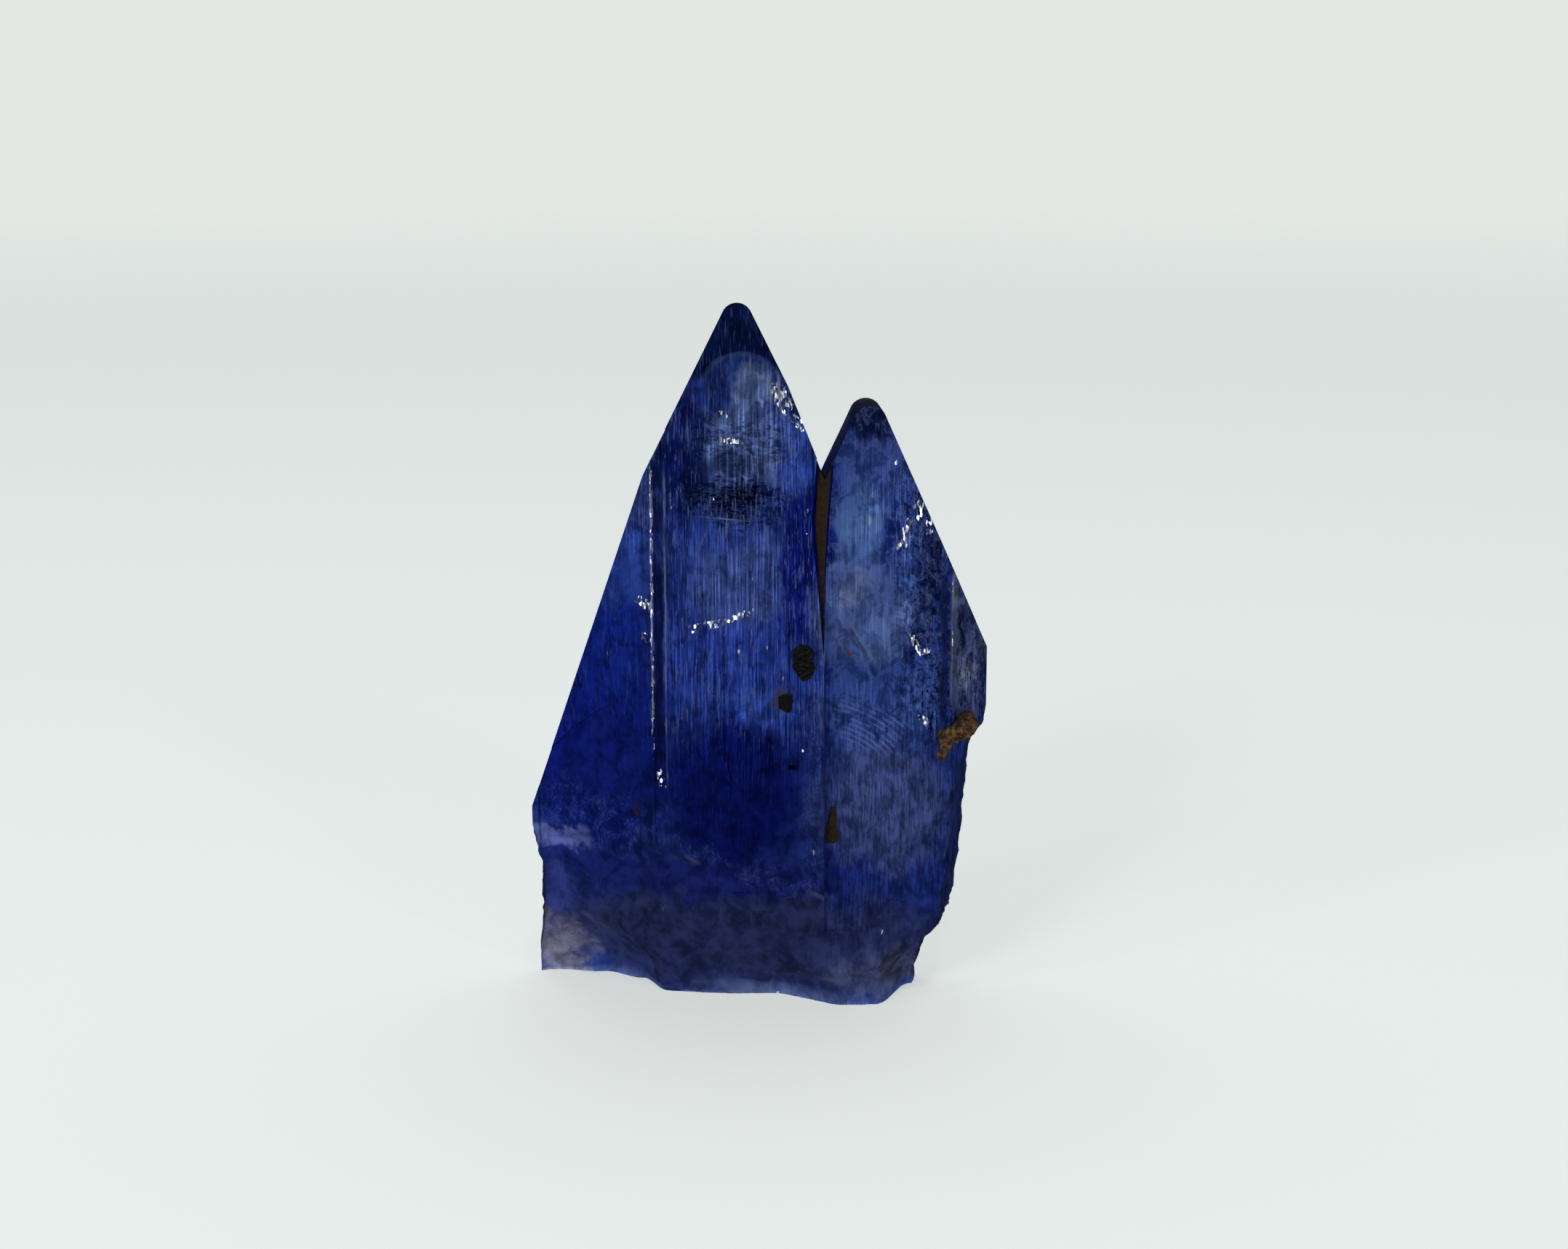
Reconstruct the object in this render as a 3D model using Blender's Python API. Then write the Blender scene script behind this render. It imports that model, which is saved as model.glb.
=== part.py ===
"""A tanzanite crystal: a tall striated blade with a gable-shaped tip and a shorter blade grown beside it, in one
body that stands on the flat cut across its broken foot. Grains of graphite and of rusty matrix sit in it.

Lengths are in millimetres in the crystal's own axes: X to the right, Y from the front face to the back, and Z
up along the striations from the cut. centre_over_origin then puts the middle of the body's box at X 0, Y 0.
"""

import math
import random

import bmesh
import bpy
from mathutils import Euler, Matrix, Vector

MM = 0.001

# The tall blade: its outline, seen from above, and the lines of its gable faces, seen from the front
TALL_LEFT, TALL_RIGHT, TALL_BACK = -8.45, 2.3, 7.2
TALL_TIP = (-0.79, 26.56)  # where the gable faces would meet, before the ridge wears round
TALL_GABLE_DEG = 26.5  # each gable face's angle from upright
TALL_LEFT_KNEE, TALL_LEFT_KNEE_DEG = (-4.06, 20.05), 19.4  # where the left gable steepens, and to what angle
TALL_RIGHT_KNEE, TALL_RIGHT_KNEE_DEG = (1.07, 22.78), 21.7
TALL_RIDGE_FALL = 0.16  # how much the ridge drops for each millimetre that it runs back
TALL_WEAR = 0.54  # the radius that the ridge is worn to
SHELF_LEFT = -3.82  # the left face ends here, in a narrow shelf beside the main face
MAIN_LEFT = -3.4  # and the main face starts here, a step in front of the shelf
MAIN_STEP = 0.36

# The short blade, the same way
SHORT_LEFT, SHORT_TURN, SHORT_RIGHT = 1.4, 6.71, 8.31
SHORT_FRONT, SHORT_BACK = 0.22, 6.2
SHORT_TIP = (3.86, 23.13)
SHORT_GABLE_DEG = (24.7, 24.2)
SHORT_RIDGE_FALL = 0.07
SHORT_WEAR = 0.6

TALLEST = 30.0  # the prisms start taller than any tip, and planes cut them down
WEAR_CUTS = 5  # how many narrow cuts round a worn ridge
POCKET_GAP = 0.05  # between a grain and the pocket that it sits in

# The foot: where the front faces end, seen from the front, and how far back the break reaches at the cut
FRONT_FACE = [(-8.45, 2.3), (-3.8, 0.2), (2.3, 0.1), (6.7, 0.5), (8.3, 1.9)]
BREAK_LINE = [(-8.45, 6.2), (-5.0, 6.6), (-3.4, 6.5), (-2.0, 6.0), (-0.7, 5.1), (1.4, 4.4), (6.8, 4.5)]
FOOT_DEPTH = [(-8.2, 4.6), (-6.0, 4.6), (-4.5, 3.8), (-3.5, 2.5), (0.3, 2.1), (3.0, 1.0), (4.2, 1.2), (5.6, 3.3)]
BREAK_SHAPE = [(0.0, 0.05), (0.34, 0.24), (0.42, 0.3), (1.0, 1.0)]  # the way back, as it goes down the break

# The broken flanks, seen from the front, from where each leaves the blade's own edge down to the cut
LEFT_FLANK = [(-8.45, 7.3), (-8.22, 5.7), (-7.95, 4.7), (-7.93, 2.7), (-8.12, 0.1)]
RIGHT_FLANK = [
    (8.31, 12.7),
    (8.2, 11.0),
    (7.9, 10.15),
    (7.42, 9.8),
    (7.15, 7.3),
    (6.9, 4.8),
    (6.72, 3.1),
    (6.4, 2.62),
    (5.95, 2.25),
    (5.85, 1.7),
    (5.45, 0.6),
]

# The growth steps in the front faces, and the notch between the blades, seen from the front
MAIN_CORNER = [(-3.65, 8.6), (-0.3, 4.5), (-3.65, 4.5)]
SHORT_STEP = [(2.3, 15.4), (4.07, 12.86), (5.24, 11.48), (6.5, 10.0), (7.6, 9.6), (7.6, 3.0), (2.3, 3.0)]
SHORT_STEP_DEPTH = 0.5
NOTCH = [(2.26, 13.3), (2.33, 16.9), (2.46, 18.6), (2.6, 20.45), (1.98, 20.45), (1.82, 18.2), (2.05, 15.6)]
NOTCH_DEPTH = 1.35
NOTCH_FILL_TOP = 20.05

# Finishes: colour, roughness, metallic value and how much light passes through
FINISHES = {
    "tanzanite": ((0.03, 0.04, 0.35), 0.1, 0.0, 0.9),
    "graphite": ((0.012, 0.012, 0.014), 0.45, 0.3, 0.0),
    "rusty_matrix": ((0.16, 0.075, 0.022), 0.85, 0.0, 0.0),
}

# Grains: the middle of each, its size, its turn in degrees, how uneven it is and its finish
GRAINS = {
    "graphite_flake": ((1.54, 0.16, 13.1), (0.9, 0.62, 1.36), (0, 10, 0), 0.09, "graphite"),
    "graphite_grain": ((0.9, 0.16, 11.65), (0.58, 0.56, 0.62), (0, 45, 0), 0.08, "graphite"),
    "shoulder_matrix": ((7.12, 1.12, 10.1), (1.5, 1.2, 0.95), (0, -24, 0), 0.12, "rusty_matrix"),
    "groove_matrix": ((2.62, 0.58, 7.1), (0.62, 0.5, 1.4), (0, 8, 0), 0.12, "rusty_matrix"),
}


def clear_scene():
    for obj in list(bpy.data.objects):
        bpy.data.objects.remove(obj, do_unlink=True)


def make_collection(name, hidden=False):
    collection = bpy.data.collections.new(name)
    bpy.context.scene.collection.children.link(collection)
    collection.hide_render = hidden
    return collection


def make_material(name):
    colour, roughness, metallic, passing = FINISHES[name]
    material = bpy.data.materials.new(name)
    material.use_nodes = True
    shader = material.node_tree.nodes["Principled BSDF"]
    shader.inputs["Base Color"].default_value = (*colour, 1.0)
    shader.inputs["Roughness"].default_value = roughness
    shader.inputs["Metallic"].default_value = metallic
    shader.inputs["Transmission Weight"].default_value = passing
    shader.inputs["IOR"].default_value = 1.69
    return material


def add_object(name, mesh, collection, axes):
    obj = bpy.data.objects.new(name, mesh)
    collection.objects.link(obj)
    obj.parent = axes
    return obj


def edited(mesh, change):
    """Runs change(bm) on a mesh and makes its faces point outwards again."""
    bm = bmesh.new()
    bm.from_mesh(mesh)
    change(bm)
    bmesh.ops.recalc_face_normals(bm, faces=bm.faces)
    bm.to_mesh(mesh)
    bm.free()


def extruded(name, outline, near, far, collection, axes, upright=False):
    """A flat outline drawn out from near to far: along Y for an outline in X and Z, or along Z if upright."""
    curve = bpy.data.curves.new(name, "CURVE")
    curve.dimensions = "2D"
    curve.fill_mode = "BOTH"
    curve.extrude = (far - near) / 2
    spline = curve.splines.new("POLY")
    spline.points.add(len(outline) - 1)
    for point, (across, along) in zip(spline.points, outline):
        point.co = (across, along, 0.0, 1.0)
    spline.use_cyclic_u = True

    guide = bpy.data.objects.new(name + "_outline", curve)
    bpy.context.scene.collection.objects.link(guide)
    mesh = bpy.data.meshes.new_from_object(guide.evaluated_get(bpy.context.evaluated_depsgraph_get()))
    bpy.data.objects.remove(guide, do_unlink=True)
    bpy.data.curves.remove(curve)

    middle = (near + far) / 2
    if upright:
        place = Matrix.Translation((0.0, 0.0, middle))
    else:
        place = Matrix.Translation((0.0, middle, 0.0)) @ Matrix.Rotation(math.radians(90.0), 4, "X")
    mesh.transform(Matrix.Scale(MM, 4) @ place)
    edited(mesh, lambda bm: bmesh.ops.remove_doubles(bm, verts=bm.verts, dist=0.005 * MM))
    return add_object(name, mesh, collection, axes)


def striated(start, end, groove, spacing, rng):
    """Points from start up to but not including end, pushed in by up to groove: the growth striations."""
    start, end = Vector(start), Vector(end)
    along = end - start
    inward = Vector((-along.y, along.x)).normalized()
    count = max(1, round(along.length / spacing))
    points = [start]
    for i in range(1, count):
        share = (i + rng.uniform(-0.32, 0.32)) / count
        points.append(start + along * share + inward * rng.uniform(0.0, groove))
    return points


def prism(name, sides, seed, collection, axes):
    """An upright prism. Each side is the corner that it starts at, seen from above and going anticlockwise,
    then how deep its striations are and how far apart.
    """
    rng = random.Random(seed)
    outline = []
    for i, (corner, groove, spacing) in enumerate(sides):
        following = sides[(i + 1) % len(sides)][0]
        outline += striated(corner, following, groove, spacing, rng)
    return extruded(name, outline, 0.0, TALLEST, collection, axes, upright=True)


def cut(obj, point, normal):
    """Cuts away what lies on the side that normal points to, and closes the cut with one flat face."""

    def change(bm):
        whole = bm.verts[:] + bm.edges[:] + bm.faces[:]
        bmesh.ops.bisect_plane(
            bm, geom=whole, plane_co=Vector(point) * MM, plane_no=normal, clear_outer=True
        )
        rim = [edge for edge in bm.edges if edge.is_boundary]
        bmesh.ops.holes_fill(bm, edges=rim, sides=0)

    edited(obj.data, change)


def gable(obj, place, degrees, side, fall):
    """Cuts the gable face through place (X, Z) on side -1 (left) or +1; fall tilts its ridge down to the back."""
    lean = math.radians(degrees)
    cut(obj, (place[0], 0.0, place[1]), (side * math.cos(lean), fall * math.sin(lean), math.sin(lean)))


def wear_ridge(obj, tip, gable_deg, radius, fall):
    """Rounds the ridge between the gable faces to radius, with narrow cuts that touch the round."""
    middle = tip[1] - radius / math.sin(math.radians(gable_deg))
    for i in range(1, WEAR_CUTS + 1):
        turn = math.radians(90.0 - gable_deg) * (2 * i / (WEAR_CUTS + 1) - 1)
        place = (tip[0] + radius * math.sin(turn), 0.0, middle + radius * math.cos(turn))
        cut(obj, place, (math.sin(turn), fall * math.cos(turn), math.cos(turn)))


def tall_blade(collection, axes):
    """The main front face, a narrow shelf on its left, a left face that turns away, and a striated back."""
    sides = [
        ((TALL_LEFT, 2.4), 0.05, 0.42),
        ((SHELF_LEFT, 0.18), 0.0, 1.0),
        ((SHELF_LEFT + 0.04, MAIN_STEP), 0.0, 1.0),
        ((MAIN_LEFT - 0.06, MAIN_STEP), 0.0, 1.0),
        ((MAIN_LEFT + 0.1, 0.0), 0.06, 0.29),
        ((TALL_RIGHT, 0.0), 0.0, 10.0),
        ((TALL_RIGHT, TALL_BACK), 0.08, 0.36),
        ((-2.6, TALL_BACK), 0.06, 0.5),
        ((TALL_LEFT, TALL_BACK - 2.2), 0.04, 0.7),
    ]
    blade = prism("crystal", sides, 11, collection, axes)
    gable(blade, TALL_TIP, TALL_GABLE_DEG, -1, TALL_RIDGE_FALL)
    gable(blade, TALL_TIP, TALL_GABLE_DEG, 1, TALL_RIDGE_FALL)
    gable(blade, TALL_LEFT_KNEE, TALL_LEFT_KNEE_DEG, -1, TALL_RIDGE_FALL)
    gable(blade, TALL_RIGHT_KNEE, TALL_RIGHT_KNEE_DEG, 1, TALL_RIDGE_FALL)
    wear_ridge(blade, TALL_TIP, TALL_GABLE_DEG, TALL_WEAR, TALL_RIDGE_FALL)
    cut(blade, (0.0, 5.7, 24.3), (0.1, 1.0, 0.75))
    cut(blade, (0.0, 7.0, 2.6), (0.1, 1.0, -0.45))
    return blade


def short_blade(collection, axes):
    """The blade on the right, whose own ridge ends in a second point at the back."""
    sides = [
        ((SHORT_LEFT, SHORT_FRONT), 0.045, 0.36),
        ((SHORT_TURN, SHORT_FRONT), 0.0, 1.0),
        ((SHORT_TURN + 0.14, SHORT_FRONT + 0.28), 0.06, 0.32),
        ((SHORT_RIGHT, 1.9), 0.05, 0.6),
        ((SHORT_RIGHT, SHORT_BACK - 1.6), 0.06, 0.4),
        ((6.1, SHORT_BACK), 0.06, 0.4),
        ((SHORT_LEFT, SHORT_BACK), 0.0, 10.0),
    ]
    blade = prism("short_blade", sides, 23, collection, axes)
    gable(blade, SHORT_TIP, SHORT_GABLE_DEG[0], -1, SHORT_RIDGE_FALL)
    gable(blade, SHORT_TIP, SHORT_GABLE_DEG[1], 1, SHORT_RIDGE_FALL)
    wear_ridge(blade, SHORT_TIP, SHORT_GABLE_DEG[0], SHORT_WEAR, SHORT_RIDGE_FALL)
    cut(blade, (0.0, 5.7, 21.6), (-0.1, 1.0, 0.6))
    cut(blade, (0.0, 6.1, 3.4), (0.1, 1.0, -0.4))
    return blade


def between(x, stops):
    """The value at x of the smooth line through stops, a list of (x, value) from left to right."""
    if x <= stops[0][0]:
        return stops[0][1]
    for (x_a, value_a), (x_b, value_b) in zip(stops, stops[1:]):
        if x <= x_b:
            share = (x - x_a) / (x_b - x_a)
            share = share * share * (3 - 2 * share)
            return value_a + (value_b - value_a) * share
    return stops[-1][1]


def break_depth(x, z):
    """The Y of the broken surface under the front faces: two slopes, with curved ripples about one point."""
    top = between(x, BREAK_LINE)
    if z > top:
        return -2.0
    face, foot = between(x, FRONT_FACE), between(x, FOOT_DEPTH)
    down = (top - z) / top
    ripple = 0.1 * math.sin(2.3 * math.hypot(x - 1.4, (z - 4.6) * 1.5))
    swell = 0.26 * math.sin(0.85 * x + 1.2) * math.sin(0.9 * z + 0.4)
    return face + (foot - face) * between(down, BREAK_SHAPE) + (ripple + swell) * min(1.0, 3.0 * down)


def break_cutter(collection, axes):
    """The block in front of the broken foot: a grid across X and Z, pushed back to the break."""
    left, right, low, high, front = -10.0, 10.0, -1.0, 7.4, -5.0
    bm = bmesh.new()
    bmesh.ops.create_grid(bm, x_segments=48, y_segments=24, size=0.5)
    for vert in bm.verts:
        x = left + (vert.co.x + 0.5) * (right - left)
        z = low + (vert.co.y + 0.5) * (high - low)
        vert.co = Vector((x, break_depth(x, z), z)) * MM
    made = bmesh.ops.extrude_face_region(bm, geom=bm.faces[:])
    for item in made["geom"]:
        if isinstance(item, bmesh.types.BMVert):
            item.co.y = front * MM
    mesh = bpy.data.meshes.new("break_face")
    bm.to_mesh(mesh)
    bm.free()
    edited(mesh, lambda fresh: bmesh.ops.triangulate(fresh, faces=fresh.faces))
    return add_object("break_face", mesh, collection, axes)


def flank_cutter(name, flank, outside, turn_deg, collection, axes):
    """What lies beyond a broken flank, turned so that the flank slants in towards the back."""
    outline = [(outside, flank[0][1]), *flank, (flank[-1][0], -1.0), (outside, -1.0)]
    block = extruded(name, outline, -14.0, 14.0, collection, axes)
    pivot = Matrix.Translation((flank[0][0] * MM, 2.0 * MM, 0.0))
    block.data.transform(pivot @ Matrix.Rotation(math.radians(turn_deg), 4, "Z") @ pivot.inverted())
    return block


def notch_matrix(collection, axes):
    """The rusty matrix left in the notch: the notch's own outline, a gap in from its walls."""
    middle = Vector((2.2, 17.0))
    inner = []
    for corner in NOTCH:
        out = Vector(corner) - middle
        inner.append((middle.x + out.x * 0.72, min(middle.y + out.y * 0.97, NOTCH_FILL_TOP)))
    return extruded("notch_matrix", inner, SHORT_FRONT + 0.1, NOTCH_DEPTH - POCKET_GAP, collection, axes)


def grain(name, parts, cutters, axes):
    """An irregular grain, flat where the crystal's face cuts it, and the cutter for its pocket."""
    middle, size, turn_deg, uneven, finish = GRAINS[name]
    rng = random.Random(name)
    place = Matrix.Translation(Vector(middle) * MM)
    place @= Euler([math.radians(angle) for angle in turn_deg]).to_matrix().to_4x4()
    bm = bmesh.new()
    bmesh.ops.create_icosphere(bm, subdivisions=2, radius=0.5)
    for vert in bm.verts:
        vert.co *= 1.0 + rng.uniform(-uneven, uneven)
        vert.co = Vector((vert.co.x * size[0], vert.co.y * size[1], vert.co.z * size[2])) * MM
    made = []
    for label, collection in ((name, parts), (name + "_pocket", cutters)):
        mesh = bpy.data.meshes.new(label)
        bm.to_mesh(mesh)
        mesh.transform(place)
        made.append(add_object(label, mesh, collection, axes))
        bm.normal_update()
        for vert in bm.verts:
            vert.co += vert.normal * POCKET_GAP * MM
    bm.free()
    piece, pocket = made
    front = -0.02 if middle[1] < 0.3 else middle[1] - size[1] * 0.45
    cut(piece, (0.0, front, 0.0), (0.0, -1.0, 0.0))
    piece.data.materials.append(make_material(finish))
    return pocket


def boolean(obj, other, operation):
    modifier = obj.modifiers.new(other.name, "BOOLEAN")
    modifier.operation = operation
    modifier.object = other
    modifier.solver = "EXACT"


def centre_over_origin(axes, crystal):
    """Moves the crystal's axes so that the middle of its box stands over the origin."""
    bpy.context.view_layer.update()
    whole = crystal.evaluated_get(bpy.context.evaluated_depsgraph_get())
    corners = [Vector(corner) for corner in whole.bound_box]
    for axis in (0, 1):
        places = [corner[axis] for corner in corners]
        axes.location[axis] = -(min(places) + max(places)) / 2
    bpy.context.view_layer.update()


def main():
    clear_scene()
    parts = make_collection("tanzanite_crystal")
    cutters = make_collection("cutters", hidden=True)
    axes = bpy.data.objects.new("crystal_axes", None)
    parts.objects.link(axes)

    crystal = tall_blade(parts, axes)
    boolean(crystal, short_blade(cutters, axes), "UNION")
    for cutter in (
        break_cutter(cutters, axes),
        flank_cutter("left_flank", LEFT_FLANK, -16.0, 8.0, cutters, axes),
        flank_cutter("right_flank", RIGHT_FLANK, 16.0, -10.0, cutters, axes),
        extruded("main_corner", MAIN_CORNER, -2.0, MAIN_STEP, cutters, axes),
        extruded("short_step", SHORT_STEP, -2.0, SHORT_STEP_DEPTH, cutters, axes),
        extruded("notch", NOTCH, -2.0, NOTCH_DEPTH, cutters, axes),
        *[grain(name, parts, cutters, axes) for name in GRAINS],
    ):
        boolean(crystal, cutter, "DIFFERENCE")
    crystal.data.materials.append(make_material("tanzanite"))
    notch_matrix(parts, axes).data.materials.append(make_material("rusty_matrix"))

    for obj in cutters.objects:
        obj.display_type = "WIRE"
        obj.hide_render = True
    centre_over_origin(axes, crystal)


main()
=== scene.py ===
import math
import random

import bpy
from mathutils import Euler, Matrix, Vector


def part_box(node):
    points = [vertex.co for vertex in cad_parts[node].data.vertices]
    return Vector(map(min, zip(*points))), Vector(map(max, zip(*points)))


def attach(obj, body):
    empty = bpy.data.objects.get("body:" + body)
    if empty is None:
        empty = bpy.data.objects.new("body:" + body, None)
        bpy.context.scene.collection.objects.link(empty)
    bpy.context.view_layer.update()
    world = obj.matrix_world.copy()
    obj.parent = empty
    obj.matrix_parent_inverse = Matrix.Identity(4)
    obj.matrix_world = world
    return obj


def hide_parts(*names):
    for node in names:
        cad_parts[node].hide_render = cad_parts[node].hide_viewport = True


bl_info = {
    "name": "Tanzanite Crystal",
    "version": (1, 0, 0),
    "blender": (4, 5, 0),
    "location": "3D View > Sidebar > Tanzanite",
    "description": "Models the two striated blades and their grains, and sets the light and the camera",
    "category": "Add Mesh",
}

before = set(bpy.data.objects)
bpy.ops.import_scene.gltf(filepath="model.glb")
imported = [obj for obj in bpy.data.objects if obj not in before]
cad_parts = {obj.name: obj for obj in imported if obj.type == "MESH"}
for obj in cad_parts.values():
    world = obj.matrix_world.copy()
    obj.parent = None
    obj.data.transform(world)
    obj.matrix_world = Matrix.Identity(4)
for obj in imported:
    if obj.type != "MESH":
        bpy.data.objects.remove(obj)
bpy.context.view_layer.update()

# Lengths are in millimetres in the crystal's own axes: X to the right, Y from the main front face to the
# back, Z up along the striations from the cut. to_frame() takes a finished piece to metres in the frame.
MM = 0.001
SHORT_RIGHT = 8.31  # the right edge of the short blade, which is the crystal's right side
CRYSTAL_LOW, CRYSTAL_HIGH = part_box("crystal")
AXES_AT = Vector((CRYSTAL_HIGH.x - SHORT_RIGHT * MM, CRYSTAL_LOW.y, CRYSTAL_LOW.z))

KINDS = ("grown", "hackly", "broken")  # the kinds of face, from smooth to rough
GROWN, HACKLY, BROKEN = range(len(KINDS))
THIN = 0.00001  # how close to a cut a corner counts as on it
CAMERA_TARGET = (0.84, 0.0, 14.55)
LAMP_TARGET = (0.0, 0.0, 0.012)  # in metres in the frame, as are the lamps' places
LAMPS = {  # the place, size and power of each
    "soft_box": ((-0.14, -0.28, 0.17), 0.08, 0.25),
    "lamp_left": ((-0.2, -0.16, 0.14), 0.03, 0.045),
    "lamp_right": ((0.14, -0.22, 0.14), 0.03, 0.045),
    "lamp_high": ((0.02, -0.16, 0.27), 0.03, 0.045),
}
BOUNCES = 9  # how often light may turn inside the crystal
TALLEST = 30.0  # the blades start taller than any tip, and cuts bring them down

# The tall blade, seen from above and from the front
TALL_LOW, TALL_HIGH = (-8.45, 0.0), (2.3, 7.2)
TALL_LEFT_FRONT, TALL_LEFT_INNER = (-8.45, 2.4), (-3.82, 0.18)
TALL_TIP = (-0.79, 26.55)
TALL_GABLE_DEG = 26.5
TALL_LEFT_KNEE, TALL_LEFT_KNEE_DEG = (-4.06, 20.05), 19.4
TALL_RIGHT_KNEE, TALL_RIGHT_KNEE_DEG = (1.07, 22.78), 21.7
TALL_RIDGE_FALL = 0.16  # how much lower the gable faces get towards the back
TALL_WEAR = 0.54  # the radius of the worn ridge
TALL_BACK_FACETS = [((-1.9, 7.2, 22.7), -0.3), ((-0.7, 7.2, 23.25), 0.05), ((0.7, 7.2, 22.7), 0.34)]

# The short blade
SHORT_LOW, SHORT_HIGH = (1.4, 0.22), (SHORT_RIGHT, 6.2)
SHORT_TIP = (3.86, 23.13)
SHORT_GABLE_DEG = (24.7, 24.2)
SHORT_RIDGE_FALL = 0.07
SHORT_WEAR = 0.6

# How far back the front faces lie, from left to right
FRONT_LINE = [
    TALL_LEFT_FRONT, TALL_LEFT_INNER, (-3.3, 0.0), (2.3, 0.0), (2.31, 0.22), (6.71, 0.22), (6.85, 0.5),
    (SHORT_RIGHT, 1.9),
]

# The broken foot: the front faces' lower edge, and how far back the break reaches at the cut
FRONT_FACE = [(-8.45, 2.3), (-3.8, 0.2), (2.3, 0.1), (6.7, 0.5), (8.3, 1.9)]
BREAK_LINE = [(-8.45, 6.2), (-5.0, 6.6), (-3.4, 6.5), (-2.0, 6.0), (-0.7, 5.1), (1.4, 4.4), (6.8, 4.5)]
FOOT_DEPTH = [
    (-8.2, 4.6), (-6.0, 4.6), (-4.5, 3.8), (-3.5, 2.5), (0.3, 2.1), (3.0, 1.0), (4.2, 1.2), (5.6, 3.3),
]
BREAK_SHAPE = [(0.0, 0.05), (0.34, 0.24), (0.42, 0.3), (1.0, 1.0)]

# The broken flanks, from where each leaves the blade's edge down to the cut
LEFT_FLANK = [(-8.45, 7.3), (-8.22, 5.7), (-7.95, 4.7), (-7.93, 2.7), (-8.12, 0.1)]
RIGHT_FLANK = [
    (8.31, 12.7), (8.2, 11.0), (7.9, 10.15), (7.42, 9.8), (7.15, 7.3), (6.9, 4.8), (6.72, 3.1), (6.4, 2.62),
    (5.95, 2.25), (5.85, 1.7), (5.45, 0.6),
]

# Steps in the front faces: an outline in X and Z, and how far back each reaches
SHELF = [(-3.83, -1.0), (-3.83, 28.0), (-3.3, 28.0), (-3.3, -1.0)]
SHELF_DEPTH = 0.36
MAIN_CORNER = [(-3.65, 8.6), (-0.3, 4.5), (-3.65, 4.5)]
SHORT_STEP = [(2.3, 15.4), (4.07, 12.86), (5.24, 11.48), (6.5, 10.0), (7.6, 9.6), (7.6, 3.0), (2.3, 3.0)]
SHORT_STEP_DEPTH = 0.5
NOTCH = [(2.26, 13.3), (2.33, 16.9), (2.46, 18.6), (2.6, 20.45), (1.98, 20.45), (1.82, 18.2), (2.05, 15.6)]
NOTCH_DEPTH = 1.35
NOTCH_FILL_TOP = 20.05
LEFT_HACKLE = [(-8.7, 4.0), (-8.7, 8.9), (-7.2, 10.4), (-5.9, 11.3), (-4.6, 9.9), (-3.9, 7.7), (-3.9, 4.0)]
LEFT_HACKLE_DEPTH = 0.17

# The grains, by the CAD node that each stands for: the outline in X and Z, and the start and end along Y
GRAINS = {
    "graphite_flake": (
        [(1.22, 13.68), (1.4, 13.8), (1.74, 13.75), (1.93, 13.5), (1.87, 13.2), (1.98, 12.95), (1.79, 12.6),
         (1.53, 12.47), (1.33, 12.69), (1.13, 13.0), (1.17, 13.42)],
        -0.02, 0.46,
    ),
    "graphite_grain": (
        [(0.62, 11.93), (0.82, 12.0), (1.12, 11.96), (1.15, 11.66), (1.08, 11.42), (0.84, 11.36),
         (0.65, 11.46)],
        0.0, 0.42,
    ),
    "groove_matrix": (
        [(2.5, 7.72), (2.68, 7.76), (2.74, 7.1), (2.86, 6.75), (2.78, 6.45), (2.4, 6.42), (2.34, 6.8),
         (2.46, 7.2)],
        0.42, 0.8,
    ),
    "shoulder_matrix": (
        [(6.4, 10.66), (6.85, 10.72), (7.25, 10.92), (7.6, 11.02), (7.82, 10.8), (7.66, 10.42), (7.2, 10.2),
         (6.86, 10.05), (6.72, 9.74), (6.5, 9.46), (6.34, 9.7), (6.44, 10.05), (6.28, 10.35)],
        0.44, 1.72,
    ),
}

# Rows of small chips in the front faces, which catch the light: the start, the end, and the most there may be
CHIP_ROWS = [
    ((-2.65, 14.35), (-1.5, 14.6), 7), ((-1.4, 14.7), (-0.3, 14.95), 6),
    ((-4.4, 15.4), (-3.86, 15.1), 5), ((-4.15, 14.1), (-3.9, 13.85), 3),
    ((0.45, 23.1), (1.15, 22.35), 7), ((1.05, 21.9), (1.6, 21.55), 5),
    ((-1.25, 22.1), (-1.1, 21.9), 2), ((5.65, 18.9), (5.15, 18.5), 4),
    ((5.1, 17.8), (4.8, 17.25), 5), ((6.0, 18.3), (5.9, 17.9), 2),
    ((6.9, 16.0), (7.05, 15.5), 4), ((5.35, 14.1), (5.7, 13.45), 5),
    ((5.75, 13.4), (6.1, 13.9), 3), ((7.4, 13.4), (7.8, 12.3), 6),
    ((-3.75, 8.95), (-3.5, 8.5), 3), ((-0.8, 5.35), (-0.2, 4.95), 3),
    ((-4.0, 20.3), (-3.3, 21.1), 4), ((-7.25, 13.0), (-7.3, 12.7), 2),
]


def number(name, description, default, low=0.0, high=10000.0, subtype="NONE"):
    """A setting that is one number."""
    return bpy.props.FloatProperty(
        name=name, description=description, default=default, min=low, max=high, subtype=subtype
    )


def colour(name, description, default):
    """A setting that is a colour."""
    return bpy.props.FloatVectorProperty(
        name=name, description=description, default=default, min=0.0, max=1.0, subtype="COLOR"
    )


class BladeSettings(bpy.types.PropertyGroup):
    """How fine and how deep the growth striations and the breaks are, in millimetres."""

    stria_depth: number("Stria Depth", "How deep the growth striations are", 0.075, 0.0, 0.3)
    column: number("Column", "The width of the narrowest striation in the mesh", 0.05, 0.02, 0.5)
    row: number("Row", "The height of one row of faces along the striations", 0.55, 0.2, 3.0)
    break_relief: number("Break Relief", "How rough the broken surfaces are", 0.3, 0.0, 1.0)
    chip: number("Chip", "The size of the small chips in the faces", 0.11, 0.02, 0.5)


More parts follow.
